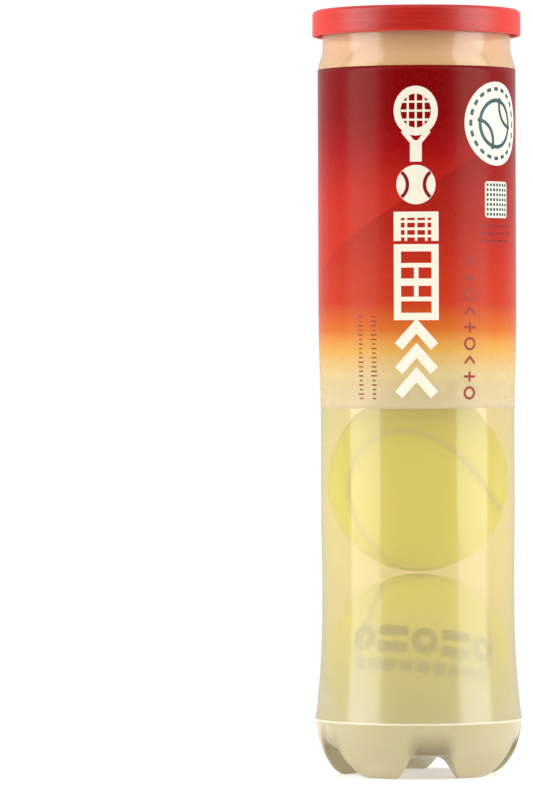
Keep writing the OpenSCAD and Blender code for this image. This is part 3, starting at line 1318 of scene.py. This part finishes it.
    def print_on(self, name: str, shapes: Sequence[Form], turn: float, height: float, ink: Ink,
                 layer: int = 0) -> None:
        """Prints shapes on the film as one piece.

        Args:
            name: The piece's name.
            shapes: The shapes, in millimetres.
            turn: Where they stand about the axis, in degrees.
            height: Where their Y = 0 lies, in millimetres.
            ink: The ink.
            layer: How many layers of ink lie below.
        """
        self.wrapped(shapes, turn, height, layer).piece(f"print_{name}", ink, "can", "printed_film")

    def build(self) -> None:
        """Prints the front and the back of the sleeve."""
        self.column(-2.1)
        self.badge(51.0, 234.1)
        self.dot_tile(51.7, 206.9)
        self.caption(50.6, 192.2, 3, 17.0, "caption", RED_INK)
        self.symbols(30.1)
        self.ticks(-36.2, 1)
        self.ticks(-27.4, 2)
        self.column(150.0)
        self.print_on("panel", [Form.plate((30.0, 46.0), (0, 0))], -125.0, 190.0, CREAM_INK)
        self.caption(-125.0, 172.0, 12, 24.0, "panel_rows", TEAL_INK, 1)


# ---------------------------------------------------------------- the metal end and the lid


@dataclass
class MetalEnd:
    """The double seam that grips the flange, the tear-off panel with its rivet, and the tab."""

    mouth_r: float = 33.3 * MM
    sheet: float = 0.3 * MM
    seam_r: float = 35.9 * MM
    hook_r: float = 34.5 * MM
    hook_high: float = 1.2 * MM
    panel_t: float = 0.25 * MM
    score: float = 0.08 * MM
    hinge_y: float = 21.5 * MM
    ring_y: float = 8.5 * MM
    ring_r: float = 12.2 * MM
    ring_hole_r: float = 8.6 * MM
    rivet_y: float = 26 * MM
    stem_r: float = 1.6 * MM
    head_r: float = 2.7 * MM
    tab_w: float = 11 * MM
    tab_t: float = 0.45 * MM

    def seam(self) -> None:
        """Builds the rim that stays on the can."""
        low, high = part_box("seam_ring")
        panel_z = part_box("tear_panel")[0].z
        chuck, skirt, hook = self.mouth_r + self.sheet, self.seam_r - self.sheet, self.hook_r + self.sheet
        under, over = low.z + self.sheet, high.z - self.sheet
        hook_z = low.z + self.hook_high
        outline = [
            (self.mouth_r, panel_z), (chuck, panel_z), (chuck, over), (skirt, over),
            (skirt, low.z + 1.0 * MM), (skirt, under), (hook, under),
            (hook, hook_z), (self.hook_r, hook_z), (self.hook_r, low.z),
            (self.seam_r, low.z), (self.seam_r, high.z), (self.mouth_r, high.z),
        ]
        form = Form.lathe(outline, 160, ring=True).rounded(0.12 * MM, 3)
        form.piece("double_seam", END_METAL, "can", "end_metal", ["seam_ring"])

    def panel(self) -> None:
        """Builds the scored panel with its pressed beads and the rivet drawn up from it."""
        low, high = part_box("tear_panel")
        base = low.z
        outer_bead, inner_bead = 0.28 * MM, 0.15 * MM
        profile = [
            (self.mouth_r - self.score, 0.0),
            (32.3 * MM, 0.0), (31.5 * MM, outer_bead), (30.3 * MM, outer_bead), (29.5 * MM, 0.0),
            (19.4 * MM, 0.0), (18.8 * MM, inner_bead), (17.8 * MM, inner_bead), (17.2 * MM, 0.0),
            (0.0, 0.0),
        ]
        under = [(radius, base + rise) for radius, rise in reversed(profile)]
        over = [(radius, base + self.panel_t + rise) for radius, rise in profile]
        form = Form.lathe([*under, *over], 160).rounded(0.08 * MM, 2, 0.35)
        root, head = base + 0.1 * MM, high.z - 0.35 * MM
        stud = [
            (0.0, root), (self.stem_r, root), (self.stem_r, head), (self.head_r, head),
            (self.head_r, high.z - 0.12 * MM), (1.2 * MM, high.z), (0.9 * MM, high.z - 0.2 * MM),
            (0.0, high.z - 0.22 * MM),
        ]
        rivet = Form.lathe(stud, 40).rounded(0.06 * MM, 2).moved((0, self.rivet_y, 0))
        form.joined(rivet).piece("tear_off_panel", END_METAL, "panel", "end_metal", ["tear_panel"])

    def nose(self) -> None:
        """Builds the tab's nose, which bears on the score."""
        low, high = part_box("tab_nose")
        tip_y = high.y - 0.1 * MM
        nose = Form.plate((self.tab_w, high.y - low.y), (0, (low.y + high.y) / 2))
        tip = [e for e in nose.bm.edges if all(v.co.y > tip_y for v in e.verts)]
        bmesh.ops.subdivide_edges(nose.bm, edges=tip, cuts=12)

        def trim(co: Vector) -> Vector:
            """Rounds the tip to follow the score line."""
            if co.y > tip_y:
                return Vector((co.x, math.sqrt(high.y**2 - co.x**2), co.z))
            return co

        nose.shaped(trim)
        bmesh.ops.solidify(nose.bm, geom=nose.bm.faces, thickness=self.tab_t)
        nose.clean()
        lowest = min(v.co.z for v in nose.bm.verts)
        nose.moved((0, 0, low.z - lowest)).rounded(0.1 * MM, 2)
        nose.piece("tab_tip", TAB_METAL, "panel", "tab_metal", ["tab_nose"])

    def finger_ring(self) -> None:
        """Builds the ring with its neck and the knuckle that it folds about."""
        ring_low, ring_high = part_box("pull_ring")
        middle = (ring_low.z + ring_high.z) / 2
        half = (ring_high.z - ring_low.z) / 2
        section = [
            (mix(self.ring_hole_r, self.ring_r, 0.5 + 0.5 * math.cos(a)), middle + half * math.sin(a))
            for a in (FULL_TURN * i / 16 for i in range(16))
        ]
        ring = Form.lathe(section, 72, ring=True).moved((0, self.ring_y, 0))
        neck_low = self.ring_y + self.ring_r - 1.6 * MM
        neck = Form.plate((self.tab_w, self.hinge_y - neck_low), (0, (self.hinge_y + neck_low) / 2), 6)
        bmesh.ops.solidify(neck.bm, geom=neck.bm.faces, thickness=self.tab_t)
        neck.clean().moved((0, 0, middle - self.tab_t / 2 - min(v.co.z for v in neck.bm.verts)))
        knuckle = Form()
        bmesh.ops.create_cone(knuckle.bm, cap_ends=True, segments=24, radius1=self.tab_t, radius2=self.tab_t,
                              depth=self.tab_w)
        across = Matrix.Rotation(math.pi / 2, 4, "Y")
        knuckle.turned(Matrix.Translation((0, self.hinge_y, middle)) @ across)
        ring.joined(neck.rounded(0.08 * MM, 2), knuckle)
        ring.piece("finger_ring", TAB_METAL, "ring", "tab_metal", ["pull_ring"])

    def build(self) -> None:
        """Builds and dresses the whole end."""
        self.seam()
        self.panel()
        self.nose()
        self.finger_ring()


@dataclass
class Lid:
    """The soft cap that snaps over the double seam."""

    wall: float = 1.1 * MM
    recess: float = 0.5 * MM
    recess_r: float = 32 * MM
    roof: float = 0.45 * MM
    corner: float = 1.8 * MM
    bead: float = 0.45 * MM
    bead_drop: float = 0.9 * MM
    bead_half: float = 0.7 * MM
    bead_flat: float = 0.2 * MM
    lip: float = 0.25 * MM

    def build(self) -> None:
        """Builds and dresses the lid."""
        low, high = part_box("snap_lid")
        outer = high.x
        inner = outer - self.wall
        under = high.z - self.recess - self.roof
        bead_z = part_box("seam_ring")[0].z - self.bead_drop
        bead_r = inner - self.bead
        floor_z = high.z - self.recess
        corner = [
            (outer - self.corner * (1 - math.cos(a)), high.z - self.corner * (1 - math.sin(a)))
            for a in (math.pi / 2 * share for share in steps(8))
        ]
        outline = [
            (0.0, under), (self.recess_r + 0.6 * MM, under), (inner - 0.6 * MM, under),
            (inner, under - 0.5 * MM),
            (inner, bead_z + self.bead_half), (bead_r, bead_z + self.bead_flat),
            (bead_r, bead_z - self.bead_flat), (inner, bead_z - self.bead_half),
            (inner, low.z + 0.35 * MM), (inner + 0.3 * MM, low.z),
            (outer - self.lip, low.z), (outer, low.z + self.lip), (outer, low.z + 2.2 * MM), *corner,
            (self.recess_r + 0.7 * MM, high.z), (self.recess_r, floor_z),
            (20 * MM, floor_z), (6 * MM, floor_z), (0.0, floor_z),
        ]
        form = Form.lathe(outline, 192).rounded(0.1 * MM, 2, 0.5)
        form.piece("red_lid", LID_PLASTIC, "lid", "lid_plastic", ["snap_lid"])


# ---------------------------------------------------------------- the balls


@dataclass
class BallPattern:
    """One tennis ball about the origin: two felt panels, the cement seam and the printed mark."""

    felt_r: float = 32.6 * MM
    seam_r: float = 32.0 * MM
    seam_half: float = 1.15 * MM
    curve_a: float = 0.794
    samples: int = 360
    fibres: int = 4200
    fibre_long: float = 1.1 * MM
    fibre_wide: float = 0.055 * MM
    fibre_bend: float = 0.22 * MM
    fibre_rise: float = 0.38 * MM
    roll: float = 1.3 * MM
    tuck: float = 0.35 * MM
    mark_lift: float = 0.3 * MM
    lumps: float = 0.10 * MM
    fuzz: float = 0.07 * MM
    curve: list = field(default_factory=list)
    sides: list = field(default_factory=list)

    def __post_init__(self) -> None:
        """Samples the seam's curve and the direction across it."""
        self.curve = [self.seam_point(FULL_TURN * i / self.samples) for i in range(self.samples)]
        for index, point in enumerate(self.curve):
            ahead = self.curve[(index + 1) % self.samples] - self.curve[index - 1]
            self.sides.append(point.cross(ahead).normalized())
        self.tree = kdtree.KDTree(self.samples)
        for index, point in enumerate(self.curve):
            self.tree.insert(point, index)
        self.tree.balance()

    def seam_point(self, t: float) -> Vector:
        """Gives a point of the seam on the unit sphere."""
        a, b = self.curve_a, 1 - self.curve_a
        return Vector((a * math.cos(t) + b * math.cos(3 * t), a * math.sin(t) - b * math.sin(3 * t),
                       2 * math.sqrt(a * b) * math.sin(2 * t)))

    def across(self, direction: Vector) -> float:
        """Gives the distance from the seam's middle line, positive on the first panel.

        Args:
            direction: A unit vector from the ball's middle.

        Returns:
            The distance along the felt, in metres.
        """
        point, index, gap = self.tree.find(direction)
        sign = 1.0 if (direction - point).dot(self.sides[index]) > 0 else -1.0
        return sign * 2 * math.asin(min(1.0, gap / 2)) * self.felt_r

    def panel_form(self, side: int) -> Form:
        """Makes one felt panel with its rolled edge and its loose nap.

        Args:
            side: 1 for the first panel, -1 for the second.

        Returns:
            The panel.
        """
        form = Form()
        bmesh.ops.create_icosphere(form.bm, subdivisions=7, radius=1.0)
        gaps = {vert: side * self.across(vert.co.normalized()) for vert in form.bm.verts}
        outside = [vert for vert, gap in gaps.items() if gap < self.tuck]
        bmesh.ops.delete(form.bm, geom=outside, context="VERTS")
        for vert in form.bm.verts:
            direction = vert.co.normalized()
            edge = min(max((gaps[vert] - self.seam_half * 0.8) / self.roll, 0.0), 1.0)
            lift = math.sqrt(1 - (1 - edge) ** 2)
            matted = noise.fractal(direction * 22, 0.7, 2.1, 4) * self.lumps
            matted += noise.noise(direction * 90) * self.fuzz
            vert.co = direction * (mix(self.seam_r - 0.5 * MM, self.felt_r, lift) + matted * lift)
        self.comb_nap(form, side)
        return form

    def comb_nap(self, form: Form, side: int) -> None:
        """Adds loose fibres that stand and lean out of the felt.

        Args:
            form: The panel.
            side: Which panel, which also seeds the draw.
        """
        draw = random.Random(40 + side)
        roots = draw.sample(range(len(form.bm.faces)), self.fibres)
        form.bm.faces.ensure_lookup_table()
        for root in [form.bm.faces[index] for index in roots]:
            start = root.calc_center_median()
            up = start.normalized()
            lean = Vector((draw.gauss(0, 1), draw.gauss(0, 1), draw.gauss(0, 1)))
            lean = (lean - up * lean.dot(up)).normalized()
            wide = up.cross(lean) * self.fibre_wide * draw.uniform(0.6, 1.3)
            long = self.fibre_long * draw.uniform(0.4, 1.0)
            bend = start + lean * long * 0.6 + up * self.fibre_bend * draw.uniform(0.3, 1.0)
            tip = start + lean * long + up * self.fibre_rise * draw.uniform(-0.2, 1.0)
            points = [start - wide, start + wide, bend + wide * 0.7, bend - wide * 0.7, tip]
            verts = [form.bm.verts.new(point) for point in points]
            form.bm.faces.new((verts[0], verts[1], verts[2], verts[3]))
            form.bm.faces.new((verts[3], verts[2], verts[4]))

    def seam_form(self) -> Form:
        """Sweeps the cement strip along the seam.

        Returns:
            The strip.
        """
        form = Form()
        side, crown, deep = -0.35 * MM, 0.06 * MM, -1.2 * MM
        rows = [(-1.0, side), (-0.5, 0.0), (0.0, crown), (0.5, 0.0), (1.0, side), (1.0, deep), (-1.0, deep)]
        circle = bmesh.ops.create_circle(form.bm, cap_ends=False, radius=1, segments=self.samples)
        ring = list(circle["verts"])
        self.lay_ring(ring, rows[0])
        for row in rows[1:]:
            ring = self.next_ring(form.bm, ring)
            self.lay_ring(ring, row)
        edges = [e for e in form.bm.edges if e.is_boundary]
        bmesh.ops.bridge_loops(form.bm, edges=edges)
        return form.clean()

    def next_ring(self, bm: bmesh.types.BMesh, ring: list) -> list:
        """Extrudes a closed ring of vertices once.

        Args:
            bm: The mesh.
            ring: The vertices, in order.

        Returns:
            The new vertices, in the same order.
        """
        order = {vert: index for index, vert in enumerate(ring)}
        edges = [e for e in bm.edges if e.verts[0] in order and e.verts[1] in order]
        made = bmesh.ops.extrude_edge_only(bm, edges=edges)["geom"]
        fresh = {g for g in made if isinstance(g, bmesh.types.BMVert)}
        after = [None] * len(ring)
        for vert in fresh:
            for edge in vert.link_edges:
                other = edge.other_vert(vert)
                if other in order:
                    after[order[other]] = vert
        return after

    def lay_ring(self, ring: list, row: tuple[float, float]) -> None:
        """Places a ring of vertices beside the seam's middle line.

        Args:
            ring: The vertices, in order.
            row: The share of the half width to the side, and the height over the seam's radius.
        """
        share, rise = row
        for index, vert in enumerate(ring):
            aside = self.sides[index] * (share * self.seam_half / self.felt_r)
            vert.co = (self.curve[index] + aside).normalized() * (self.seam_r + rise)

    def mark_form(self, facing: Vector, right: Vector) -> Form:
        """Makes the printed mark, two rows of plain shapes, bent round the felt.

        Args:
            facing: The unit vector through the mark's middle.
            right: The unit vector to the mark's right.

        Returns:
            The mark.
        """
        row_y, bar_away, block_y = 4.6, 3.0, -4.9
        bar_rows = (row_y - bar_away, row_y + bar_away)
        shapes = [Form.disc(4.7, (x, row_y), 2.0, 32) for x in (-23.5, 0, 23.5)]
        shapes += [Form.plate((11.0, 3.5), (x, y), 8) for x in (-11.8, 11.8) for y in bar_rows]
        shapes += [Form.plate((4.4, 4.0), (x, block_y), 4) for x in range(-24, 25, 6)]
        form = shapes[0].joined(*shapes[1:]).turned(Matrix.Scale(MM, 4))
        up = right.cross(facing) * -1
        radius = self.felt_r + self.mark_lift

        def wrap(co: Vector) -> Vector:
            """Bends a flat point round the ball."""
            aside, rise = co.x / self.felt_r, co.y / self.felt_r
            flat = facing * math.cos(aside) + right * math.sin(aside)
            return (flat * math.cos(rise) + up * math.sin(rise)) * radius

        return form.shaped(wrap)


@dataclass
class Stack:
    """The balls in the can, lowest first."""

    turns: tuple = ((8, -10, 135), (-16, -36, 41), (40, 25, 10), (70, -20, 60))
    mark_facings: tuple = ((0.03, -1.0, 0.17), (0.0, 0.3, 1.0), (0.2, -1.0, 0.1), (0.1, 0.2, 1.0))
    mark_lean: float = math.radians(-6)
    mark_t: float = 0.08 * MM

    def build(self) -> None:
        """Builds and dresses every ball from one pattern."""
        pattern = BallPattern()
        meshes = {
            "a": pattern.panel_form(1).mesh("a"),
            "b": pattern.panel_form(-1).mesh("b"),
            "seam": pattern.seam_form().mesh("seam"),
        }
        for index, turn in enumerate(self.turns):
            self.ball(index + 1, turn, meshes, pattern)
        for mesh in meshes.values():
            bpy.data.meshes.remove(mesh)

    def ball(self, number: int, turn: Sequence[float], meshes: dict, pattern: BallPattern) -> None:
        """Builds one ball.

        Args:
            number: Its place in the stack, from 1 at the bottom.
            turn: Its turns about X, Y and Z in degrees.
            meshes: The pattern's meshes by name.
            pattern: The pattern.
        """
        body = f"ball_{number}"
        corners = [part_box(f"{body}_core_{half}") for half in ("lower", "upper")]
        low = Vector(map(min, corners[0][0], corners[1][0]))
        high = Vector(map(max, corners[0][1], corners[1][1]))
        middle = (low + high) / 2
        turned = Euler([math.radians(angle) for angle in turn], "XYZ").to_matrix().to_4x4()
        for key, name, finish, slot, node, crease in (
            ("a", "felt_panel_a", FELT, "ball_felt", "felt_a", NO_CREASE),
            ("b", "felt_panel_b", FELT, "ball_felt", "felt_b", NO_CREASE),
            ("seam", "seam_strip", SEAM_CEMENT, "felt_seam", "seam", CREASE),
        ):
            mesh = meshes[key].copy()
            mesh.transform(Matrix.Translation(middle) @ turned)
            piece = bpy.data.objects.new(f"{body}_{name}", mesh)
            dress(piece, finish, body, [f"{body}_{node}"], crease)
        facing = Vector(self.mark_facings[number - 1]).normalized()
        upright = Vector((0, 0, 1))
        right = upright.cross(facing) if abs(facing.z) < 0.9 else Vector((1, 0, 0))
        right = (right - facing * right.dot(facing)).normalized()
        right.rotate(Matrix.Rotation(self.mark_lean, 3, facing))
        mark = pattern.mark_form(facing, right).moved(middle)
        thicken(mark.piece(f"{body}_mark", BLACK_INK, body, "ball_felt"), self.mark_t)
        for part, finish in (("core_lower", RUBBER), ("core_upper", RUBBER), ("core_cement", CORE_CEMENT)):
            repaint(f"{body}_{part}", finish)


# ---------------------------------------------------------------- the studio


@dataclass
class Studio:
    """A pale floor, two tall soft boxes beside the can, and the camera."""

    far: float = 2.0
    eye: tuple[float, float] = (-0.0546, 0.148)
    centre_z: float = 0.13815
    view_high: float = 0.28391
    roll: float = math.radians(0.2)
    box_wide: float = 0.92
    box_high: float = 1.5
    box_away: float = 1.2
    box_angle: float = math.radians(67)
    box_power: float = 17.5
    floor_r: float = 0.45
    floor_gap: float = 0.02 * MM
    dusk: tuple[float, float] = (-0.7, 0.3)
    ambient: tuple[float, float] = (0.04, 0.70)
    from_above: float = 0.9

    def floor(self) -> None:
        """Lays the floor."""
        mesh = Form.disc(self.floor_r, (0, 0), 0, 128).moved((0, 0, -self.floor_gap)).mesh("floor")
        mesh.materials.append(FLOOR_PAINT.material())
        plane = bpy.data.objects.new("floor", mesh)
        bpy.context.scene.collection.objects.link(plane)

    def soft_box(self, side: int) -> None:
        """Hangs one tall soft box, turned to the can.

        Args:
            side: -1 for the left, 1 for the right.
        """
        lamp = bpy.data.lights.new(f"soft_box_{side}", "AREA")
        lamp.shape = "RECTANGLE"
        lamp.size = self.box_wide
        lamp.size_y = self.box_high
        lamp.energy = self.box_power
        holder = bpy.data.objects.new(lamp.name, lamp)
        middle = Vector((side * math.sin(self.box_angle), -math.cos(self.box_angle), 0)) * self.box_away
        holder.location = middle + Vector((0, 0, self.box_high / 2))
        holder.rotation_euler = Vector((middle.x, middle.y, 0)).to_track_quat("Z", "Y").to_euler()
        bpy.context.scene.collection.objects.link(holder)

    def sky(self) -> None:
        """Lights the room softly, with a white background behind the can."""
        world = bpy.data.worlds.new("room")
        world.use_nodes = True
        nodes, links = world.node_tree.nodes, world.node_tree.links
        seen = nodes.new("ShaderNodeLightPath").outputs["Is Camera Ray"]
        parts = nodes.new("ShaderNodeSeparateXYZ")
        links.new(nodes.new("ShaderNodeTexCoord").outputs["Generated"], parts.inputs[0])
        dark_side = nodes.new("ShaderNodeMapRange")
        for key, value in zip(("From Min", "From Max", "To Min", "To Max"), (*self.dusk, *self.ambient)):
            dark_side.inputs[key].default_value = value
        lean = nodes.new("ShaderNodeMath")
        lean.operation = "MULTIPLY_ADD"
        lean.inputs[1].default_value = self.from_above
        links.new(parts.outputs["Z"], lean.inputs[0])
        links.new(parts.outputs["Y"], lean.inputs[2])
        links.new(lean.outputs[0], dark_side.inputs["Value"])
        level = nodes.new("ShaderNodeMapRange")
        level.inputs["To Max"].default_value = 1.0
        links.new(dark_side.outputs[0], level.inputs["To Min"])
        links.new(seen, level.inputs["Value"])
        background = nodes["Background"]
        background.inputs["Color"].default_value = (1, 1, 1, 1)
        links.new(level.outputs[0], background.inputs["Strength"])
        bpy.context.scene.world = world

    def camera(self) -> None:
        """Sets the camera level with the can's middle, with the can to the right of its view."""
        data = bpy.data.cameras.new("camera")
        data.sensor_fit = "VERTICAL"
        data.angle = 2 * math.atan(self.view_high / 2 / self.far)
        data.clip_end = 50
        holder = bpy.data.objects.new("camera", data)
        holder.location = (self.eye[0], -self.far, self.eye[1])
        pitch = math.atan((self.eye[1] - self.centre_z) / self.far)
        holder.rotation_euler = Euler((math.pi / 2 - pitch, self.roll, 0), "XYZ")
        bpy.context.scene.collection.objects.link(holder)
        bpy.context.scene.camera = holder

    def build(self) -> None:
        """Builds the stage."""
        self.floor()
        for side in (-1, 1):
            self.soft_box(side)
        self.sky()
        self.camera()
        bpy.context.scene.view_settings.view_transform = "Standard"


def main() -> None:
    """Builds the can, its end, its lid, its balls and the studio."""
    logging.basicConfig(level=logging.INFO, format="%(name)s %(message)s")
    can = Can()
    for part in (can, Artwork(can), MetalEnd(), Lid(), Stack(), Studio()):
        part.build()
        LOG.info("%s built", type(part).__name__)


if __name__ == "__main__":
    main()
